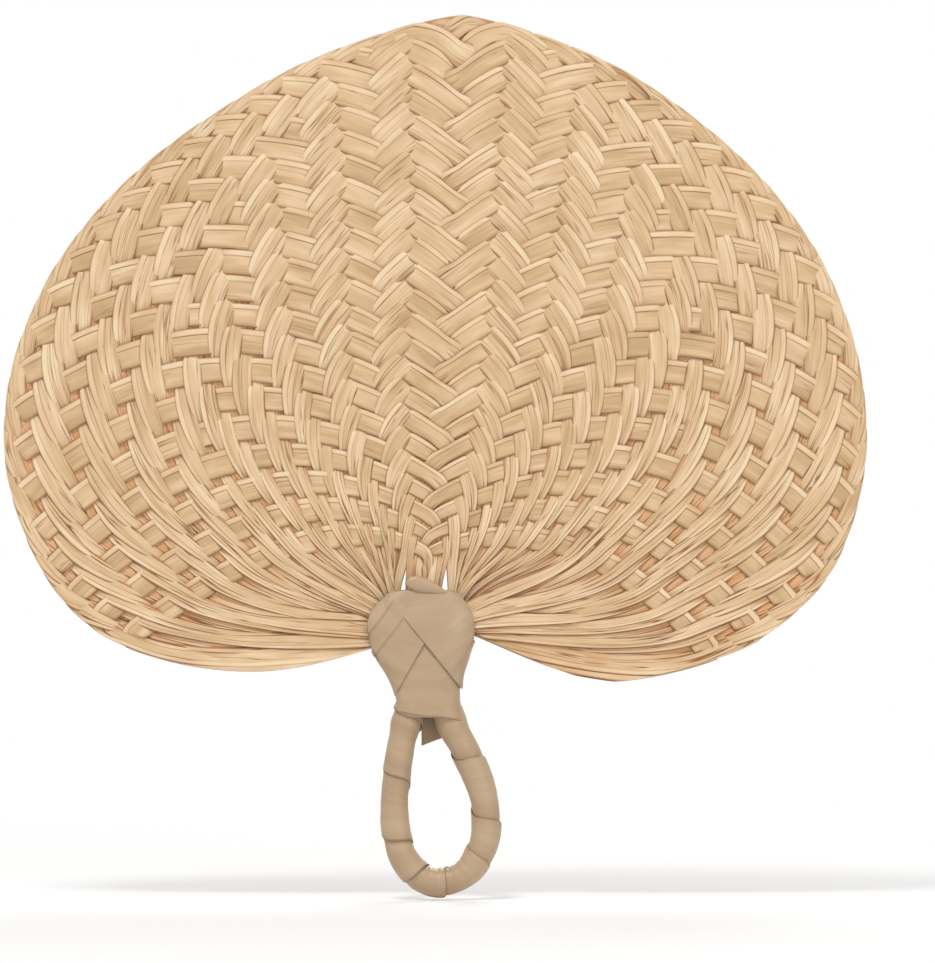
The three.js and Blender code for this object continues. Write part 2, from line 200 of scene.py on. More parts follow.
def leaf_path(side, i):
    """Leaf i from neck to neck: its middle line, a vector across its room, its kind of stretch
    (0 rising, 1 crosswise), its level, how far it is into the neck, and how near the rim."""
    other = "right" if side == "left" else "left"
    parts = []

    def stretch(home, p, q, kind):
        p, q = np.broadcast_arrays(np.asarray(p, float), np.asarray(q, float))
        middle = crossing(home, p, q)
        beside = [(0.5, 0), (-0.5, 0)] if kind == 0 else [(0, 0.5), (0, -0.5)]
        sides = [crossing(home, p + dp, q + dq) for dp, dq in beside]
        parts.append((middle, sides[0] - sides[1], np.full(len(middle), float(kind)),
                      np.exp(-np.maximum(q + 1 - p, 0) / NEAR_RIM_LEAVES)))

    def neck_stretch(home, p, s):
        sides = [sweep(home, p + dp, s) for dp in (0.5, -0.5)]
        near_rim = math.exp(-max(LAST_ROW + 1 - p, 0) / NEAR_RIM_LEAVES)
        parts.append((sweep(home, p, s), sides[0] - sides[1], np.zeros(len(s)),
                      np.full(len(s), near_rim)))

    far_fold = i + 1
    into = np.linspace(1, 0, SWEEP_STEPS, endpoint=False)
    neck_stretch(side, -i, into)
    stretch(side, -i, np.arange(LAST_ROW, i, -LATTICE_STEP), 0)
    stretch(other, np.arange(-i, far_fold, LATTICE_STEP), i, 1)
    if far_fold <= LAST_ROW:
        stretch(other, far_fold, np.arange(i, LAST_ROW, LATTICE_STEP), 0)
    neck_stretch(other, far_fold, 1 - into)
    middle, across, kind, near_rim = (np.concatenate(columns) for columns in zip(*parts))

    # The level at every crossing, and from one to the next: 1 in front, -1 behind
    at_centre = CENTRE_BULGE if (side == "left") == (i % 2 == 0) else -CENTRE_BULGE
    rising = [-1 if crosses_in_front(-i, q) else 1 for q in range(LAST_ROW, i, -1)]
    over = [1 if crosses_in_front(p, i) else -1 for p in range(1 - i, i + 1)]
    falling = [-1 if crosses_in_front(far_fold, q) else 1 for q in range(far_fold, LAST_ROW + 1)]
    signs = np.array(rising + [at_centre] + over + [0] + falling, float)
    starts = np.cumsum([0] + [len(part[0]) for part in parts])
    crossings = ((1, len(rising)), (2, len(over) + 1), (3, len(falling) + 1))
    node_at = np.concatenate([starts[part] + np.arange(count) / LATTICE_STEP
                              for part, count in crossings])
    sample = np.arange(len(middle))
    step = np.clip(np.searchsorted(node_at, sample, "right") - 1, 0, len(signs) - 2)
    share = (sample - node_at[step]) / np.maximum(node_at[step + 1] - node_at[step], 1e-6)
    flat = np.where(kind == 1, CROSSWISE_FLAT, RISING_FLAT)
    blend = smooth((share - flat) / (1 - 2 * flat))
    level = signs[step] + (signs[step + 1] - signs[step]) * blend
    inward = np.zeros(len(middle))
    inward[:starts[1]] = into
    inward[starts[-2]:] = 1 - into
    level *= 1 - smooth(inward / LEVEL_BY)
    return middle, across, kind, level, inward, near_rim


def resample(path, distance, step):
    """Every column of a path at even steps of its own length."""
    at = np.linspace(0, distance[-1], max(2, int(round(distance[-1] / step)) + 1))
    out = []
    for column in path:
        if column.ndim == 1:
            out.append(np.interp(at, distance, column))
        else:
            out.append(np.stack([np.interp(at, distance, c) for c in column.T], axis=-1))
    return out, at


def length_along(points):
    return np.concatenate([[0], np.cumsum(np.linalg.norm(np.diff(points, axis=0), axis=1))])


def wander(rng, at, amount, wavelength):
    """Smooth noise along a path: about how large, and over what length it changes."""
    knots = rng.normal(size=int(at[-1] / wavelength) + 4)
    t = at / wavelength
    i = t.astype(int)
    u = smooth(t - i)
    return amount * (knots[i] * (1 - u) + knots[i + 1] * u)


def both_faces(front, back=None):
    """Values across a strip's front and then, the other way round, across its back."""
    return np.concatenate([front, (front if back is None else back)[:, ::-1]], axis=1)


# Across a leaf, from the plain edge (-1) to the hem (1)
ACROSS = np.array([-1, -0.95, -0.88, -0.7, -0.5, -0.25, 0, 0.25, 0.4, 0.47, 0.51, 0.56, 0.62, 0.78,
                   0.88, 0.95, 1])
FINE_STEP = 0.6  # steps in which a leaf's way is rounded over
STATION_STEP = 1.6  # length of leaf from one cross-section of its mesh to the next
PATH_SOFTENING = 2.6  # a leaf's turns are rounded over about this length
FOLD_SOFTENING = 5.5  # the same where it folds at the rim

# Half width as a share of a leaf's room. A crosswise leaf gains a little in front and loses in the
# lowest rows. A rising one swells in front over its neighbour, mostly on the hem's side.
CROSSWISE_SHARE = 0.52
CROSSWISE_GAIN = 0.03
LOW_ROW_LOSS = 0.11
LOW_ROWS = (11, 23)
HEM_SHARE = 0.71
HEM_SWELL = 0.23
PLAIN_SHARE = 0.63
PLAIN_SWELL = 0.03
LEAF_HALF_WIDTH = 4.9  # the most, crosswise
RISING_EXTRA = 0.6  # what a rising leaf may add to that
FOLD_HALF_WIDTH = 4.1  # the least, at the rim's folds
FOLD_EXTRA = 3  # what the hem's side adds at the fold, to be drawn in to the edge
SHEAF_HALF_WIDTH = 1.9  # a leaf that is wider in its sheaf spreads to its plain side
GATHERED_BY = 0.8  # share of its sweep after which a leaf lies as in the sheaf

LEAF_BODY = 0.24  # thickness of the flat leaf
WEAVE_RISE = 0.58  # how far a leaf's middle lies in front of or behind the blade's plane
LAYER_SPREAD = 1.2  # how far leaves of one sheaf lie before or behind each other
EDGE_RISE = 0.3  # rise of a rising leaf's edge over the neighbour, in one leaf's room
MOST_LEAN = 0.7  # its steepest slope
DIVE_ARCH = 0.34  # how far its edges curl back where it dives
CROWN = 0.08  # height of its middle over its edges
HEM_GROOVE = 0.51  # where the groove beside the hem lies, on the scale of ACROSS
HEM_START = 0.52
HEM_BODY = 0.1  # what the turned hem adds on each face
CROSSWISE_HEM = 0.08  # more of it where the leaf runs crosswise
WAVE = 0.05  # height of the shallow lengthwise waves
ROUNDING = 0.07  # share of the half width over which the edges are rounded

# How each leaf varies along its length, as sizes and lengths in millimetres for wander
VARIES = {"width": (0.05, 25), "bow": (0.12, 30), "hem": (0.2, 18), "waves": (2, 30),
          "groove": (0.4, 14), "tone": (0.1, 20), "pleats": (0.3, 24)}
LOW_LEAVES_TOP = 150  # below this height rising leaves get more crease lines and wider, darker painted shade at the edges
LOW_LEAVES_DEPTH = 80  # and are fully so this much lower


def leaf_mesh(side, i):
    """Rings of points along leaf i, and what its material reads at them."""
    rng = np.random.default_rng(1000 * (side == "right") + i)

    def varied(key):
        return wander(rng, at, *VARIES[key])[:, None]

    path = leaf_path(side, i)
    path, at = resample(path, length_along(path[0]), FINE_STEP)
    middle = soften(path[0], PATH_SOFTENING / FINE_STEP)
    at_fold = soften(path[5] ** 2, 3)[:, None]
    middle += at_fold * (soften(path[0], FOLD_SOFTENING / FINE_STEP) - middle)
    path = [middle] + [soften(column, 1.2) for column in path[1:]]
    path, at = resample(path, length_along(middle), STATION_STEP)
    middle, across, kind, level, inward, near_rim = path
    ahead = np.gradient(middle, axis=0)
    ahead /= np.linalg.norm(ahead, axis=1)[:, None]
    hemward = np.stack([-ahead[:, 1], ahead[:, 0]], axis=-1) * (1 if side == "left" else -1)

    # Width, from the leaf's neighbours, the rim, and at both ends its sheaf
    pitch = soften(np.abs((across * hemward).sum(1)), 3)
    low_row = np.interp(i, LOW_ROWS, (0, 1))
    swell = soften(level, 2.6)
    hem_share = HEM_SHARE + HEM_SWELL * swell
    plain_share = PLAIN_SHARE + PLAIN_SWELL * swell
    crosswise_share = (CROSSWISE_SHARE + CROSSWISE_GAIN * smooth(level * 0.5 + 0.5)
                       - LOW_ROW_LOSS * low_row)
    room = np.where(kind > 0.5, crosswise_share, hem_share)
    half = np.maximum(room * pitch, FOLD_HALF_WIDTH * near_rim)
    half = soften(np.minimum(LEAF_HALF_WIDTH + RISING_EXTRA * (kind < 0.5), half), 1.5)
    gathered = smooth(inward / GATHERED_BY)
    first_half = np.arange(len(at)) < len(at) / 2
    other = "right" if side == "left" else "left"
    near_half, near_layer = in_sheaf(side, -i)[3:]
    far_half, far_layer = in_sheaf(other, i + 1)[3:]
    half = half + smooth(inward) * (np.where(first_half, near_half, far_half) - half)
    half *= 1 + varied("width")[:, 0]
    middle = middle - hemward * (gathered * np.maximum(half - SHEAF_HALF_WIDTH, 0))[:, None]
    plain_side = soften(np.where(kind > 0.5, 1, plain_share / hem_share), 1.5)
    plain_side += (1 - plain_side) * np.maximum(smooth(inward), near_rim)

    # The leaf's middle sheet, in front of or behind the blade's plane
    v = ACROSS[None, :]
    crosswise = kind[:, None]
    level = level[:, None]
    lean = np.clip(EDGE_RISE / np.maximum(pitch, EDGE_RISE), 0, MOST_LEAN)[:, None]
    chance = np.where(first_half, *rng.uniform(-1, 1, 2))
    layer = (np.where(first_half, near_layer, far_layer) + LAYER_SPREAD * chance) * gathered
    behind = (gathered * smooth((0.4 - chance) / 1.4))[:, None]
    gathered = gathered[:, None]
    sheet = WEAVE_RISE * level + layer[:, None]
    tilt = (1 - 0.7 * crosswise) * (1 - 0.6 * gathered)
    sheet = sheet + tilt * lean * half[:, None] * v
    sheet = sheet - DIVE_ARCH * (1 - crosswise) * (1 - gathered) * (1 - level ** 2) * v ** 2
    sheet = sheet + varied("bow")

    # What stands up from it on both faces: crown, hem, the groove beside the hem, and waves
    hem = smooth((v - HEM_START) / 0.06)
    hem = hem * np.clip(1 + varied("hem"), 0.6, 1.4)
    groove = np.exp(-((v - HEM_GROOVE) / 0.03) ** 2)
    waves = np.sin(4 * v + varied("waves"))
    relief = CROWN * (1 - v ** 2) + (HEM_BODY + CROSSWISE_HEM * crosswise) * hem - 0.1 * groove
    relief = relief + WAVE * (1 - 0.6 * crosswise) * waves
    rounded = np.clip((1 - np.abs(v)) / ROUNDING, 0, 1) ** 0.5
    body = LEAF_BODY / 2 * (0.3 + 0.7 * rounded)
    front = sheet + body + np.clip(relief, -0.1, 2) * rounded
    back = sheet - body - np.clip(relief, -0.1, 2) * rounded
    reach = half[:, None] * v * np.where(v < 0, plain_side[:, None], 1)
    reach = reach + FOLD_EXTRA * near_rim[:, None] ** 2 * smooth(v)
    place = within_outline(middle[:, None, :] + hemward[:, None, :] * reach[..., None])
    points = np.stack([both_faces(place[..., 0]), both_faces(-front, -back),
                       both_faces(place[..., 1])], axis=-1)

    # For the material: painted shade at the edges and in the groove, partly the leaf's own brown
    # edges, tone with a painted highlight on the hem, creases, and painted warm shade where other
    # leaves lie over it
    low = (1 - crosswise) * smooth((LOW_LEAVES_TOP - middle[:, 1:]) / LOW_LEAVES_DEPTH)
    # Painted shade in the groove beside the hem and at both edges, where the edges are also the
    # leaf's own brown
    brown_and_shade = groove * (0.5 + 0.4 * crosswise) * np.clip(1 + varied("groove"), 0.3, 1.5)
    hem_edge = smooth((v - 0.88 + 0.08 * low) / 0.12)
    plain_edge = smooth((-v - 0.78 + 0.06 * low) / 0.2)
    brown_and_shade = np.maximum(brown_and_shade, (0.85 + 0.3 * low) * np.maximum(hem_edge, plain_edge))
    # Leaves lying behind others in the sheaf get more painted shade
    brown_and_shade = brown_and_shade + 0.3 * behind
    # Tone: a painted highlight makes the hem lighter; crosswise stretches are darker below their
    # hem, more so in the lower rows; and it wanders at random
    dull = np.interp(i, (5, 14), (0.06, 0.26)) * crosswise
    tone = 0.5 + 0.3 * hem - dull * (1 - hem) + varied("tone")
    pleated = np.clip(1 - 0.75 * crosswise + varied("pleats"), 0, 1)
    pleated = pleated * (1 - hem) * (1 + 0.8 * low) * (1 - 0.5 * gathered)
    # Painted warm shade: on the front face where the leaf dives behind the leaves over it, on the
    # back face where it lies in front, and on both where it lies behind in a sheaf
    under = np.maximum(smooth(-level - 0.1) * (1 - gathered), 0.9 * behind) + 0 * v
    over = np.maximum(smooth(level - 0.1) * (1 - gathered), 0.9 * behind) + 0 * v
    grain = np.stack(np.broadcast_arrays(at[:, None], both_faces(half[:, None] * v),
                                         float(i + (50 if side == "right" else 0))), axis=-1)
    return points, {"grain": grain, "warm_shade": both_faces(under, over),
                    "brown_and_shade": both_faces(brown_and_shade), "tone": both_faces(tone),
                    "pleated": both_faces(pleated)}


def ring_faces(rows, columns, closed=False):
    """Quads between rings of points, and the two end caps of an open tube."""
    r = np.arange(rows if closed else rows - 1)[:, None]
    c = np.arange(columns)[None, :]
    nr = (r + 1) % rows
    nc = (c + 1) % columns
    quads = np.stack(np.broadcast_arrays(r * columns + c, nr * columns + c, nr * columns + nc,
                                         r * columns + nc), axis=-1).reshape(-1, 4)
    caps = []
    if not closed:
        caps = [list(range(columns)), list(range(rows * columns - 1, (rows - 1) * columns - 1, -1))]
    return quads.tolist() + caps


def build_piece(name, surface, closed, material):
    """A mesh object from rings of points in millimetres and what its material reads at them."""
    points, attributes = surface
    rows, columns = points.shape[:2]
    mesh = bpy.data.meshes.new(name)
    flat = points.reshape(-1, 3) / 1000
    mesh.from_pydata(flat.tolist(), [], ring_faces(rows, columns, closed))
    mesh.shade_smooth()
    for key, values in attributes.items():
        vector = values.ndim == 3
        kind = "FLOAT_VECTOR" if vector else "FLOAT"
        attribute = mesh.attributes.new(key, kind, "POINT")
        attribute.data.foreach_set("vector" if vector else "value",
                                   np.ascontiguousarray(values, np.float32).ravel())
    mesh.calc_loop_triangles()
    triangles = np.zeros(len(mesh.loop_triangles) * 3, np.int32)
    mesh.loop_triangles.foreach_get("vertices", triangles)
    a, b, c = (flat[triangles.reshape(-1, 3)[:, k]] for k in range(3))
    if (a * np.cross(b, c)).sum() < 0:
        mesh.flip_normals()
    piece = bpy.data.objects.new(name, mesh)
    bpy.context.scene.collection.objects.link(piece)
    mesh.materials.append(material)
    return piece


def linear(code):
    """sRGB hex to the linear colour that a shader socket takes."""
    parts = [int(code[k:k + 2], 16) / 255 for k in (1, 3, 5)]
    return [p / 12.92 if p <= 0.04045 else ((p + 0.055) / 1.055) ** 2.4 for p in parts] + [1]


def add_node(tree, kind, inputs=None, stops=(), **settings):
    """A shader node with its settings, a colour ramp's stops among them, and then its inputs. An
    input that is a socket is linked, and one that is a node is linked from its first socket."""
    node = tree.nodes.new("ShaderNode" + kind)
    for key, value in settings.items():
        setattr(node, key, value)
    for _ in stops[2:]:
        node.color_ramp.elements.new(0.5)
    for k, (position, code) in enumerate(stops):
        node.color_ramp.elements[k].position = position
        node.color_ramp.elements[k].color = linear(code)
    for key, value in (inputs or {}).items():
        value = value.outputs[0] if isinstance(value, bpy.types.Node) else value
        if isinstance(value, bpy.types.NodeSocket):
            tree.links.new(value, node.inputs[key])
        else:
            node.inputs[key].default_value = value
    return node


# The noises on the blade's leaves: millimetres along the leaf and across it, and detail. Their
# ribs are 0.25 mm apart. That is too fine to show at the photo's 0.4 mm a pixel, so only the bump
# has it, and the colour draws its fibres coarser, 0.5 mm wide. Clouds are blotches from drying,
# folds the lines of its creases, shade patches those in which the painted warm shade varies, and
# line hue those in which the painted dark lines turn from brown to orange.
STRAW_GRAIN = {"fibres": (45, 0.5, 3), "clouds": (30, 6, 2), "shade_patches": (9, 2, 1),
               "folds": (60, 1.9, 1), "line_hue": (14, 5, 1), "ribs": (20, 0.25, 2)}
GRAIN_DEPTH = 7.3  # moves the noise on from one leaf's number to the next
FOLD_LINE = 0.03  # half the width of a crease, in the noise's own values

# Cattail leaf, dried in the sun and left raw: matt pale straw with a slight sheen. The eye sees
# soft lengthwise blotches. Painted into its colour are a highlight on the turned hem; thin dark
# lines of painted shade, brown to orange, in the creases, in the hem's groove and at the edges,
# there partly the leaf's own brown; and a warmer orange painted shade where another leaf lies
# over it.
straw = bpy.data.materials.new("dry_cattail_leaf")
straw.use_nodes = True
tree = straw.node_tree
shader = tree.nodes["Principled BSDF"]
shader.inputs["Roughness"].default_value = 0.55
shader.inputs["Specular IOR Level"].default_value = 0.35
painted = {key: add_node(tree, "Attribute", attribute_name=key).outputs["Fac"]
           for key in ("tone", "warm_shade", "brown_and_shade", "pleated")}
grain = add_node(tree, "Attribute", attribute_name="grain").outputs["Vector"]
grains = {}
for key, (along_mm, across_mm, detail) in STRAW_GRAIN.items():
    stretched = add_node(tree, "VectorMath", {
        0: grain, 1: (1 / along_mm, 1 / across_mm, GRAIN_DEPTH)}, operation="MULTIPLY")
    grains[key] = add_node(tree, "TexNoise", {
        "Vector": stretched, "Scale": 1, "Detail": detail, "Roughness": 0.6})
fibres = add_node(tree, "Math", {0: grains["fibres"], 1: 0.2}, operation="MULTIPLY")
mottled = add_node(tree, "Math", {0: grains["clouds"], 1: 0.8, 2: fibres},
                   operation="MULTIPLY_ADD")
lighter = add_node(tree, "Math", {0: painted["tone"], 1: 0.5}, operation="SUBTRACT")
shade = add_node(tree, "Math", {0: lighter, 1: 0.28, 2: mottled}, operation="MULTIPLY_ADD")
leaf_colour = add_node(tree, "ValToRGB", {"Fac": shade}, stops=[
    (0.3, "#C3A278"), (0.44, "#D5B48A"), (0.56, "#E0C19A"), (0.7, "#ECD3AD")])
patchy = add_node(tree, "Math", {0: grains["shade_patches"], 1: 0.2}, operation="ADD")
warm_shade_amount = add_node(tree, "Math", {0: painted["warm_shade"], 1: patchy}, operation="MULTIPLY",
                     use_clamp=True)
# The factor, colours and result of a colour Mix are its inputs 0, 6 and 7 and its output 2
# Painted warm orange shade where other leaves lie over this one, in patches
warm_shaded = add_node(tree, "Mix", {0: warm_shade_amount, 6: leaf_colour, 7: linear("#D99F69")},
                  data_type="RGBA")
# Creases lie where the folds' noise passes its middle value. The colour draws them as dark lines
# of painted shade, the bump as grooves.
from_middle = add_node(tree, "Math", {0: grains["folds"], 1: 0.5}, operation="SUBTRACT")
away = add_node(tree, "Math", {0: from_middle}, operation="ABSOLUTE")
fold_line = add_node(tree, "Math", {0: away, 1: -1 / FOLD_LINE, 2: 1}, operation="MULTIPLY_ADD",
                     use_clamp=True)
folds = add_node(tree, "Math", {0: fold_line, 1: painted["pleated"]}, operation="MULTIPLY")
# Painted shade, and the leaf's own brown, at the edges and in the groove; with the creases it
# darkens the colour
edges = add_node(tree, "Math", {0: painted["brown_and_shade"], 1: 0.85}, operation="MULTIPLY")
dark = add_node(tree, "Math", {0: folds, 1: 0.75, 2: edges}, operation="MULTIPLY_ADD",
                use_clamp=True)
# The dark colour runs from brown to orange in patches
orange = add_node(tree, "Math", {0: grains["line_hue"], 1: 2, 2: -0.5}, operation="MULTIPLY_ADD",
                  use_clamp=True)
brown = add_node(tree, "Mix", {0: orange, 6: linear("#5A4020"), 7: linear("#AE6C38")},
                 data_type="RGBA")
darkened = add_node(tree, "Mix", {0: dark, 6: warm_shaded.outputs[2], 7: brown.outputs[2]},
                   data_type="RGBA")
tree.links.new(darkened.outputs[2], shader.inputs["Base Color"])
height = add_node(tree, "Math", {0: folds, 1: -1.5, 2: grains["ribs"]}, operation="MULTIPLY_ADD")
bump = add_node(tree, "Bump", {"Height": height, "Strength": 0.28, "Distance": 0.00012})
tree.links.new(bump.outputs[0], shader.inputs["Normal"])

for side in ("left", "right"):
    for i in range(LEAF_PAIRS):
        node = f"leaf_{side}_{i + 1:02d}"
        leaf = build_piece(f"cattail_{node}", leaf_mesh(side, i), False, straw)
        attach(leaf, "root")
        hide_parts(node)

# --- Neck lashing ---
# One broad, smooth leaf wound round the gathered leaf ends several times. Its turns cross on the
# face: one comes down from the upper left, one lies under it and leans the other way.
NECK_BOTTOM = 34
NECK_ROW_PITCH = 8.667
# The neck's middle, half width and half depth, from the bottom up
NECK = [(-2.8, 12.9, 7.2), (-3.8, 12.3, 7.4), (-5.2, 14.0, 8.2), (-6.4, 17.9, 8.6),
        (-6.5, 20.8, 8.2), (-6.4, 20.0, 6.9), (-5.4, 12.6, 5.2)]
NECK_SQUARENESS = 0.6  # 1 makes its cross-section an ellipse, less makes it squarer
NECK_ARM = 16  # length round the neck of one radian, for the grain
# Height of the lashing's top at the sides, where the blade leaves it, and on the faces, and the
# sines of the angle between which it rises from one to the other
LASHING_TOP = {"side": 64, "peak": 86, "notch": (0.36, 0.52)}
SIDE_SLOPE = 2  # how much higher it is on the right than in the middle
PEAK_FALL = 1.3  # how much lower its peak is where it meets the notch
LASHING_BOTTOM = 35.8
LAYER = 0.5  # thickness of the wrapping leaf
PLACES_ROUND = 240
PLACES_UP = 70


def neck_place(angle, z, out):
    """A point `out` outside the neck; angle 0 is the right side, a quarter turn the face."""
    shape = np.shape(z)
    middle, width, depth = along(NECK, (np.ravel(z) - NECK_BOTTOM) / NECK_ROW_PITCH).T
    middle, width, depth = (v.reshape(shape) for v in (middle, width, depth))
    cosine = np.cos(angle)
    sine = np.sin(angle)
    x = middle + (width + out) * np.sign(cosine) * np.abs(cosine) ** NECK_SQUARENESS
    y = -(depth + out) * np.sign(sine) * np.abs(sine) ** NECK_SQUARENESS
    return np.stack([x, y, z], axis=-1)


def lashing_top(angle):
    start, end = LASHING_TOP["notch"]
    share = smooth((np.abs(np.sin(angle)) - start) / (end - start))
    side = LASHING_TOP["side"] + SIDE_SLOPE * np.cos(angle)
    peak = LASHING_TOP["peak"] - PEAK_FALL * np.cos(angle) ** 2
    return side + (peak - side) * share


def slanted_edge(angle, start, end, out):
    """Height, at each angle, of an edge that the face shows straight from start to end."""
    heights = np.linspace(36, 90, 400)
    x = neck_place(angle[:, None], np.broadcast_to(heights, (len(angle), 400)), out)[..., 0]
    slope = (end[1] - start[1]) / (end[0] - start[0])
    line = start[1] + slope * (x - start[0])
    return heights[np.argmin(np.abs(line - heights), axis=1)]


def noise_field(seed, a, b, size_a, size_b):
    """Smooth random relief over a surface whose coordinates are a and b, both in millimetres."""
    table = np.random.default_rng(seed).normal(size=(64, 64))
    u = a / size_a
    w = b / size_b
    i, j = np.floor(u).astype(int), np.floor(w).astype(int)
    fu, fw = smooth(u - i), smooth(w - j)
    corner = [[table[(i + di) % 64, (j + dj) % 64] for dj in (0, 1)] for di in (0, 1)]
    low = corner[0][0] * (1 - fu) + corner[1][0] * fu
    high = corner[0][1] * (1 - fu) + corner[1][1] * fu
    return low * (1 - fw) + high * fw


def lashing_turn(angle, bottom, top, out, lean, seed, pleats=()):
    """A turn of the lashing between two heights at each angle. Its grain leans by that slope.
    Pleats are seen on the face, from one place (x, z) to another, with the height of their step."""
    share = np.linspace(0, 1, PLACES_UP)
    z = bottom[:, None] + (top - bottom)[:, None] * share
    turned = np.broadcast_to(angle[:, None], z.shape)
    face = neck_place(turned, z, 0)
    side = NECK_ARM * turned
    along_leaf = side + lean * z
    across_leaf = z - lean * side
    relief = 0.06 * noise_field(seed, along_leaf, across_leaf, 18, 3.2)
    relief = relief + 0.16 * noise_field(seed + 1, along_leaf, across_leaf, 26, 9)
    brown_and_shade = np.zeros_like(z)
    for (x0, z0), (x1, z1), height in pleats:
        line = z0 + (z1 - z0) / (x1 - x0) * (face[..., 0] - x0)
        past = z - line
        on_face = smooth((x1 + 2 - face[..., 0]) / 3) * (face[..., 1] < 0)
        relief = relief + height * smooth(0.5 + past / 0.9) * on_face
        # Painted shade along the step of a pleat
        brown_and_shade = np.maximum(brown_and_shade, 0.7 * np.exp(-(past / 0.5) ** 2) * on_face)
    edge = np.minimum(share, 1 - share) * (top - bottom)[:, None]
    rounded = np.clip(edge / LAYER, 0, 1) ** 0.5
    outer = neck_place(turned, z, out + relief - LAYER * (1 - rounded) * 0.8)
    inner = neck_place(turned, z, out + relief - LAYER)
    grain = np.stack([along_leaf, across_leaf, np.full_like(z, seed)], axis=-1)
    # Painted shade along both edges of the turn
    brown_and_shade = np.maximum(brown_and_shade, 0.6 * smooth(1 - edge / LAYER))
    return both_faces(outer, inner), {"grain": both_faces(grain), "brown_and_shade": both_faces(brown_and_shade)}


# The noises on the wrapping leaf, as for the blade. Its veins are 0.2 mm apart, too fine to show:
# the bump draws them at 0.4 mm and the colour as streaks 0.8 mm wide.
WRAP_GRAIN = {"streaks": (60, 0.8, 3), "clouds": (18, 9, 2), "veins": (25, 0.4, 2)}

# Broad leaf sheath, wound on damp and dried there: a closed, almost even skin. The eye sees a
# greyer brown than the blade's, soft clouds and a dull silky sheen. Darker brown painted shade
# lies along the edges of its turns and their pleats, under the rolled fold, in the winding's
# puckers and over all of the hanging tail.
wrap = bpy.data.materials.new("smooth_wrapping_leaf")
wrap.use_nodes = True
tree = wrap.node_tree
shader = tree.nodes["Principled BSDF"]
shader.inputs["Roughness"].default_value = 0.42
shader.inputs["Specular IOR Level"].default_value = 0.4
brown_and_shade = add_node(tree, "Attribute", attribute_name="brown_and_shade").outputs["Fac"]
grain = add_node(tree, "Attribute", attribute_name="grain").outputs["Vector"]
grains = {}
for key, (along_mm, across_mm, detail) in WRAP_GRAIN.items():
    stretched = add_node(tree, "VectorMath", {
        0: grain, 1: (1 / along_mm, 1 / across_mm, GRAIN_DEPTH)}, operation="MULTIPLY")
    grains[key] = add_node(tree, "TexNoise", {"Vector": stretched, "Scale": 1, "Detail": detail})
faint = add_node(tree, "Math", {0: grains["streaks"], 1: 0.25}, operation="MULTIPLY")
mottled = add_node(tree, "Math", {0: grains["clouds"], 1: 0.75, 2: faint},
                   operation="MULTIPLY_ADD")
wrap_colour = add_node(tree, "ValToRGB", {"Fac": mottled}, stops=[
    (0.3, "#AB9072"), (0.46, "#B3987A"), (0.6, "#B99F81"), (0.74, "#C0A789")])
dark = add_node(tree, "Math", {0: brown_and_shade, 1: 0.7}, operation="MULTIPLY", use_clamp=True)
darkened = add_node(tree, "Mix", {0: dark, 6: wrap_colour, 7: linear("#80664A")}, data_type="RGBA")
tree.links.new(darkened.outputs[2], shader.inputs["Base Color"])
bump = add_node(tree, "Bump", {"Height": grains["veins"], "Strength": 0.12, "Distance": 0.0001})
tree.links.new(bump.outputs[0], shader.inputs["Normal"])

# The first turn goes all the way round
whole = np.linspace(0, 2 * np.pi, PLACES_ROUND, endpoint=False)
inner_turn = lashing_turn(whole, np.full(PLACES_ROUND, LASHING_BOTTOM), lashing_top(whole),
                          out=0, lean=0, seed=11)

# The turn over the left side: seen on the face, its lower edge leans up to the right
LEFT_EDGE = ((-16.9, 44.5), (-5.9, 63.7))
LEFT_END = 82  # height at which that edge ends
LEAST_TURN = 3  # and the turn's least height
LEFT_PLEATS = [((-23.8, 59.8), (-13.4, 74.4), 0.35), ((-26.4, 67.3), (-17.3, 80.7), 0.3)]
left_side = np.linspace(0.25 * np.pi, 1.75 * np.pi, 200)
mirrored = np.where(left_side > np.pi, 2 * np.pi - left_side, left_side)
lower = slanted_edge(mirrored, *LEFT_EDGE, 0.8)
left_side, lower = left_side[lower < LEFT_END], lower[lower < LEFT_END]
upper = np.maximum(lashing_top(left_side), lower + LEAST_TURN)
left_turn = lashing_turn(left_side, lower, upper, out=0.85, lean=0.6, seed=23, pleats=LEFT_PLEATS)

# The outermost turn, over the right side: its lower edge runs down to the right
RIGHT_EDGE = ((-17.3, 79.5), (9.1, 47.6))
RIGHT_END = 84
right_side = np.linspace(-0.8 * np.pi, 0.8 * np.pi, 200)
lower = slanted_edge(np.abs(right_side), *RIGHT_EDGE, 1.3)
right_side, lower = right_side[lower < RIGHT_END], lower[lower < RIGHT_END]
upper = np.maximum(lashing_top(right_side), lower + LEAST_TURN)
right_turn = lashing_turn(right_side, lower, upper, out=1.3, lean=-0.7, seed=37)

for name, turn, closed, node in (("lashing_inner_turn", inner_turn, True, "knot_wrap_under"),
                                 ("lashing_left_turn", left_turn, False, "knot_wrap_under"),
                                 ("lashing_right_turn", right_turn, False, "knot_wrap_over")):
    lashing = build_piece(name, turn, closed, wrap)
    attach(lashing, "root")
    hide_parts(node)

# --- Band at the waist ---
# The lashing's last turn, the same leaf pulled tight round the waist. Its lower edge is a little
# lower on the right, and its upper part goes in under the two slanted turns.
BAND_BOTTOM = 36.3
BAND_SLOPE = 2.1
BAND_HEIGHT = 24
band_bottom = BAND_BOTTOM - BAND_SLOPE * np.cos(whole)
band_turn = lashing_turn(whole, band_bottom, band_bottom + BAND_HEIGHT,
                         out=0.35, lean=0.06, seed=41)
waist_band = build_piece("lashing_waist_turn", band_turn, True, wrap)
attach(waist_band, "root")
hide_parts("neck_band")

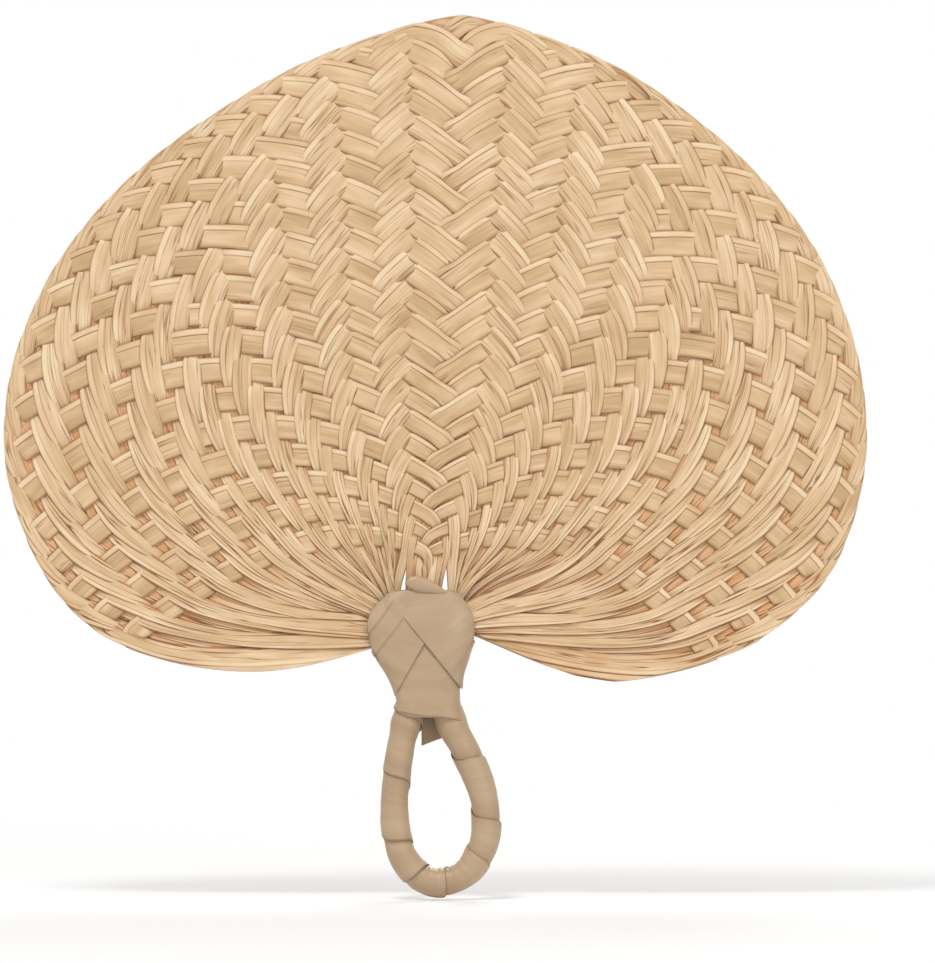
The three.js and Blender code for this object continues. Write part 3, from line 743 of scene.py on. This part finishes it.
# --- Fold over the lashing's top ---
# The wrapping leaf's end, rolled over the lashing's upper edge on the face and tucked in there. It
# is the same leaf, thickest left of the middle, and flattens out to the right.
FOLD_FRONT = -6.4  # how far in front of the blade's plane its middle lies
FOLD_LENGTH = 18
FOLD_RINGS = 44
FOLD_SIDES = 28
# Places along it from left to right: x, its upper and lower edge as seen on the face, and depth
FOLD_PLACES = [(-12.9, 89.2, 88.0, 0.6), (-11.4, 91.1, 86.4, 1.6), (-8.3, 91.7, 84.8, 1.7),
               (-4.2, 90.3, 84.6, 1.4), (-0.4, 88.1, 84.4, 0.9), (3.6, 85.4, 84.8, 0.2)]


def rolled_fold():
    share = np.linspace(0, 1, FOLD_RINGS)[:, None]
    angle = np.linspace(0, 2 * np.pi, FOLD_SIDES, endpoint=False)[None, :]
    at = np.linspace(0, 1, len(FOLD_PLACES))
    x, upper, lower, depth = (soften(np.interp(share[:, 0], at, column), 1.2)[:, None]
                              for column in zip(*FOLD_PLACES))
    y = FOLD_FRONT - 0.2 * share - depth * np.cos(angle)
    z = (upper + lower) / 2 + (upper - lower) / 2 * np.sin(angle)
    points = np.stack(np.broadcast_arrays(x, y, z), axis=-1)
    grain = np.stack(np.broadcast_arrays(FOLD_LENGTH * share, 2 * angle, 53.0), axis=-1)
    # Painted shade on the fold's underside, fading out to the right
    under = np.exp(-((angle - 1.5 * np.pi) / 0.75) ** 2)
    return points, {"grain": grain, "brown_and_shade": 0.8 * under * (1 - share) ** 0.7}


fold = build_piece("lashing_rolled_fold", rolled_fold(), False, wrap)
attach(fold, "root")
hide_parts("knot_fold")

# --- Bundles of leaf ends ---
# The trimmed ends of the blade's leaves, packed to round bundles: one bound in the neck, and one
# bent round to the loop. Lashing and winding hold them, and nearly hide them.
LOOP_ROUTE = [(-10, 47), (-12.4, 34), (-14.9, 22), (-16.7, 8), (-16.7, -6), (-13.8, -19),
              (-6.5, -27.3), (2.5, -29.2), (11.5, -24.8), (17.6, -15), (19, -3), (16.2, 10),
              (10.6, 23), (4.6, 35), (2.4, 47)]
LOOP_BUNDLE_RADIUS = 4.2
NECK_BUNDLE_BOTTOM = 48.2
NECK_BUNDLE_LENGTH = 22
NECK_BUNDLE_INSET = 3.4  # how far inside the neck's outline its surface lies
BUNDLE_SIDES = 72


def centripetal_route(points, count):
    """Evenly spaced points, and their directions, on a centripetal Catmull-Rom curve."""
    guide = np.array(points, float)
    guide = np.vstack([2 * guide[0] - guide[1], guide, 2 * guide[-1] - guide[-2]])
    fine = []
    for k in range(1, len(guide) - 2):
        p = guide[k - 1:k + 3]
        knots = np.concatenate([[0], np.cumsum(np.linalg.norm(np.diff(p, axis=0), axis=1) ** 0.5)])
        t = np.linspace(knots[1], knots[2], 60, endpoint=k == len(guide) - 3)[:, None]

        def between(a, b, i, j):
            return (knots[j] - t) / (knots[j] - knots[i]) * a + (t - knots[i]) / (
                knots[j] - knots[i]) * b

        a1, a2, a3 = (between(p[i], p[i + 1], i, i + 1) for i in range(3))
        b1 = between(a1, a2, 0, 2)
        b2 = between(a2, a3, 1, 3)
        fine.append(between(b1, b2, 1, 2))
    fine = np.concatenate(fine)
    at = length_along(fine)
    even = np.linspace(0, at[-1], count)
    place = np.stack([np.interp(even, at, c) for c in fine.T], axis=-1)
    ahead = np.gradient(place, axis=0)
    return place, ahead / np.linalg.norm(ahead, axis=1)[:, None], even


route, route_ahead, route_at = centripetal_route(LOOP_ROUTE, 1200)
ROUTE_LENGTH = route_at[-1]


def beside_route(distance, radius, angle):
    """A point at that distance along the loop, and at a radius and angle from its middle line."""
    middle = [np.interp(distance, route_at, route[:, k]) for k in (0, 1)]
    ahead = [np.interp(distance, route_at, route_ahead[:, k]) for k in (0, 1)]
    x = middle[0] - ahead[1] * radius * np.cos(angle)
    z = middle[1] + ahead[0] * radius * np.cos(angle)
    return np.stack([x, radius * np.sin(angle), z], axis=-1)


def strands(share, angle):
    """The bundle's ends side by side: 0 in the furrow between two, 1 on top of one."""
    return np.abs(np.sin(9 * angle + 0.6 * np.sin(7 * share))) ** 0.5


def loop_surface(share, angle):
    distance = share * ROUTE_LENGTH
    radius = LOOP_BUNDLE_RADIUS - 0.5 + 0.4 * strands(share, angle)
    return beside_route(distance, radius, angle), distance


def neck_surface(share, angle):
    z = NECK_BUNDLE_BOTTOM + NECK_BUNDLE_LENGTH * share
    return neck_place(angle, z, 0.5 * strands(share, angle) - NECK_BUNDLE_INSET), z


def strand_bundle(rings, surface):
    """A bundle of leaf ends, from its surface at a share of its length and an angle round it."""
    share = np.linspace(0, 1, rings)[:, None]
    angle = np.linspace(0, 2 * np.pi, BUNDLE_SIDES, endpoint=False)[None, :]
    share, angle = np.broadcast_arrays(share, angle)
    points, length = surface(share, angle)
    strand = strands(share, angle)
    grain = np.stack(np.broadcast_arrays(length, 5 * angle, 60.0), axis=-1)
    # Painted shade in the furrows between the ends, and a little painted warm shade all over
    return points, {"grain": grain, "brown_and_shade": 0.8 * (1 - strand),
                    "warm_shade": np.full_like(strand, 0.2), "tone": np.full_like(strand, 0.5),
                    "pleated": np.full_like(strand, 0.5)}


for name, node, surface, rings in (("bent_leaf_bundle", "loop_core", loop_surface, 160),
                                   ("bound_leaf_bundle", "neck_core", neck_surface, 30)):
    bundle = build_piece(name, strand_bundle(rings, surface), False, straw)
    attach(bundle, "root")
    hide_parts(node)

# --- Loop winding ---
# A strip of the same broad leaf, wound over the bent bundle in one unbroken helix. Each turn lies
# over the edge of the one before, and it puckers on the inside of the tightest bend.
WINDING_SEAMS = [-14, 11, 35, 61, 75, 89, 105, 121, 146, 170, 195]  # along the loop, on the face
WINDING_OVERLAP = 3.5
WINDING_RADIUS = 5.1
WINDING_BODY = 0.4  # thickness of the strip
WINDING_ARM = 5.5  # length round the loop of one radian, for the grain
WINDING_LIFT = 0.6  # how far a turn's outer edge stands off the one before
FLAT_TURN = 2  # the turn that lies flatter than the others, by FLAT_LOSS
FLAT_LOSS = 0.35
WINDING_END = 3  # how far from the ends of the loop's middle line the strip stops
WINDING_RINGS = 900
WINDING_ACROSS = 24


def loop_winding():
    rng = np.random.default_rng(5)
    angle = np.linspace(0.5, len(WINDING_SEAMS) - 1.5, WINDING_RINGS) * 2 * np.pi
    # Each turn runs nearly straight across the face and moves on behind
    turn = 0.25 + (angle - 0.9 * np.cos(angle)) / (2 * np.pi)
    share = np.linspace(0, 1, WINDING_ACROSS)[None, :]
    number = np.arange(len(WINDING_SEAMS))
    far_edge = soften(np.interp(turn, number, WINDING_SEAMS), 9)
    near_edge = soften(np.interp(turn - 1, number, WINDING_SEAMS), 9) - WINDING_OVERLAP
    far_edge = far_edge + wander(rng, turn * 20, 0.5, 9)
    turn = turn[:, None]
    angle = angle[:, None]
    distance = near_edge[:, None] + (far_edge - near_edge)[:, None] * share
    distance = np.clip(distance, WINDING_END, ROUTE_LENGTH - WINDING_END)
    along_leaf = turn * 2 * np.pi * WINDING_ARM + 0 * share
    across_leaf = distance - near_edge[:, None]

    # Its radius: lifted outer edge, puckers in the bend, relief, and both ends under the lashing
    lift = WINDING_LIFT - FLAT_LOSS * np.exp(-((turn - FLAT_TURN) / 0.4) ** 2)
    outer = lift * smooth((share - 0.1) / 0.9)
    bend = np.gradient(np.unwrap(np.arctan2(route_ahead[:, 1], route_ahead[:, 0])), route_at)
    bend = np.interp(distance, route_at, np.abs(bend))
    inside = np.clip(np.cos(angle), 0, 1)
    pucker = 0.4 * np.clip(bend * 22 - 0.9, 0, 1) * inside * np.sin(distance * 1.7)
    relief = 0.05 * noise_field(71, along_leaf, across_leaf, 9, 2.5)
    relief = relief + 0.18 * noise_field(72, along_leaf, across_leaf, 12, 9)
    to_end = np.minimum(distance, ROUTE_LENGTH - distance)
    ends = 0.75 * np.exp(-((to_end - 14) / 4) ** 2) - 0.9 * smooth((9 - to_end) / 5)
    radius = WINDING_RADIUS + outer + relief + pucker + ends
    top = beside_route(distance, radius + WINDING_BODY / 2, angle + 0 * share)
    under = beside_route(distance, radius - WINDING_BODY / 2, angle + 0 * share)
    grain = np.stack([along_leaf, across_leaf, np.full_like(across_leaf, 71)], axis=-1)
    # Painted shade along the strip's lifted outer edge, where it lies over the turn before, and in
    # the hollows of its puckers
    brown_and_shade = smooth((share - 0.95) / 0.05) + 0.4 * np.clip(-pucker, 0, 1)
    return both_faces(top, under), {"grain": both_faces(grain), "brown_and_shade": both_faces(brown_and_shade)}


winding = build_piece("loop_spiral_wrap", loop_winding(), False, wrap)
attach(winding, "root")
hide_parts("loop_winding")

# --- Tail of the winding ---
# The end of the wrapping strip, left as a short flap of the same leaf. The lashing holds it above,
# and it hangs between the two legs of the loop, a little behind them.
TAIL_TOP = 44
TAIL_BOTTOM = (24.4, 27.4)  # on the left and on the right
TAIL_LEFT = (-6.6, -6.5)  # its two edges, at the top and at the bottom
TAIL_RIGHT = (-0.4, 1.5)
TAIL_BEHIND = 2.6
TAIL_BODY = 0.45
TAIL_RINGS = 16
TAIL_ACROSS = 12


def hanging_tail():
    share = np.linspace(0, 1, TAIL_RINGS)[:, None]
    across = np.linspace(0, 1, TAIL_ACROSS)[None, :]
    left = np.interp(share, (0, 1), TAIL_LEFT)
    right = np.interp(share, (0, 1), TAIL_RIGHT)
    x = left + (right - left) * across
    bottom = np.interp(across, (0, 1), TAIL_BOTTOM)
    z = TAIL_TOP + (bottom - TAIL_TOP) * share
    curl = 0.8 * np.sin(np.pi * across) + 0.3 * np.sin(5 * across + 3 * share)
    y = TAIL_BEHIND + 1.1 * share ** 2 + curl
    front = np.stack([x, y, z], axis=-1)
    back = front + np.array([0, TAIL_BODY, 0])
    points = both_faces(front, back)
    grain = np.stack([z, x, np.full_like(x, 83)], axis=-1)
    # Painted shade over the whole flap, which hangs behind the legs
    return points, {"grain": both_faces(grain), "brown_and_shade": np.full(points.shape[:2], 0.9)}


tail = build_piece("wrap_end_tail", hanging_tail(), False, wrap)
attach(tail, "root")
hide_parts("wrap_tail")

# --- Floor and surroundings, in metres ---
# A sheet of pale studio paper under the loop. It keeps the fan's shadow and fades to plain white
# away from it, as the photo's ground does.
FLOOR_SIZE = 1.6
FLOOR_HEIGHT = -0.0362
FADE = (0.05, 0.75)  # distances from the middle between which the floor fades
LEAST_FADE = 0.35
AMBIENT_STRENGTH = 0.4
WHITE = linear("#FFFFFF")
scene = bpy.context.scene
scene.view_settings.view_transform = "Standard"
floor_mesh = bpy.data.meshes.new("floor")
edge = FLOOR_SIZE / 2
floor_mesh.from_pydata([(-edge, -edge, 0), (edge, -edge, 0), (edge, edge, 0), (-edge, edge, 0)], [],
                       [(0, 1, 2, 3)])

# Uncoated paper, rolled smooth: off-white and fully matt, so the eye sees only the soft shadow
floor_look = bpy.data.materials.new("pale_studio_paper")
floor_look.use_nodes = True
tree = floor_look.node_tree
paper = tree.nodes["Principled BSDF"]
paper.inputs["Base Color"].default_value = linear("#F8F7F5")
paper.inputs["Roughness"].default_value = 0.9
place = add_node(tree, "TexCoord")
from_middle = add_node(tree, "VectorMath", {0: place.outputs["Object"]},
                       operation="LENGTH")
fading = add_node(tree, "MapRange", {
    "Value": from_middle.outputs["Value"], "From Min": FADE[0], "From Max": FADE[1],
    "To Min": LEAST_FADE, "To Max": 1.0})
rays = add_node(tree, "LightPath")
white = add_node(tree, "Emission", {"Color": WHITE, "Strength": 1})
share = add_node(tree, "Math", {
    0: fading.outputs["Result"], 1: rays.outputs["Is Camera Ray"]}, operation="MULTIPLY")
faded = add_node(tree, "MixShader", {
    0: share, 1: paper, 2: white})
tree.links.new(faded.outputs[0], tree.nodes["Material Output"].inputs["Surface"])
floor_mesh.materials.append(floor_look)
floor = bpy.data.objects.new("floor", floor_mesh)
floor.location = (0, 0, FLOOR_HEIGHT)
scene.collection.objects.link(floor)

world = bpy.data.worlds.new("white_surroundings")
scene.world = world
world.use_nodes = True
tree = world.node_tree
tree.nodes.clear()
rays = add_node(tree, "LightPath")
glossy = add_node(tree, "Math", {
    0: rays.outputs["Is Camera Ray"], 1: rays.outputs["Is Glossy Ray"]}, operation="MAXIMUM")
seen = add_node(tree, "Math", {
    0: glossy, 1: rays.outputs["Is Transmission Ray"]}, operation="MAXIMUM")
backdrop = add_node(tree, "Background", {"Color": WHITE, "Strength": 1})
ambient = add_node(tree, "Background", {"Color": WHITE, "Strength": AMBIENT_STRENGTH})
mixed = add_node(tree, "MixShader", {
    0: seen, 1: ambient, 2: backdrop})
add_node(tree, "OutputWorld", {"Surface": mixed})

# --- Lamps and camera, in metres ---
# Three large soft lamps: the main one high on the left in front, a weak one low on the right, and
# one behind. The camera is far off and shows hardly any depth.
CAMERA_DISTANCE = 3.0
PICTURE_MIDDLE = (0.0116, 0.1285)
PICTURE_HEIGHT = 0.3789  # what the photo's height spans at the blade
SENSOR_HEIGHT = 36  # in millimetres
# Name, place, the place it is aimed at, diameter, power in watts
LAMPS = [("key_lamp", (-0.35, -1.0, 1.7), (0, 0, 0.15), 0.5, 20.5),
         ("fill_lamp", (0.9, -1.6, 0.5), (0, 0, 0.1), 1.0, 6.4),
         ("back_lamp", (0.3, 1.4, 1.3), (0, 0, 0.15), 0.9, 12.5)]
for name, spot, target, size, power in LAMPS:
    lamp_data = bpy.data.lights.new(name, "AREA")
    lamp_data.shape = "DISK"
    lamp_data.size = size
    lamp_data.energy = power
    lamp = bpy.data.objects.new(name, lamp_data)
    lamp.location = spot
    aim = np.array(target) - np.array(spot)
    flat = math.hypot(aim[0], aim[1])
    lamp.rotation_euler = (math.atan2(flat, -aim[2]), 0, math.atan2(-aim[0], aim[1]))
    scene.collection.objects.link(lamp)

camera_data = bpy.data.cameras.new("photo_camera")
camera_data.sensor_fit = "VERTICAL"
camera_data.sensor_height = SENSOR_HEIGHT
camera_data.lens = SENSOR_HEIGHT * CAMERA_DISTANCE / PICTURE_HEIGHT
camera_data.clip_end = 50
camera = bpy.data.objects.new("photo_camera", camera_data)
camera.location = (PICTURE_MIDDLE[0], -CAMERA_DISTANCE, PICTURE_MIDDLE[1])
camera.rotation_euler = (math.pi / 2, 0, 0)
scene.collection.objects.link(camera)
scene.camera = camera
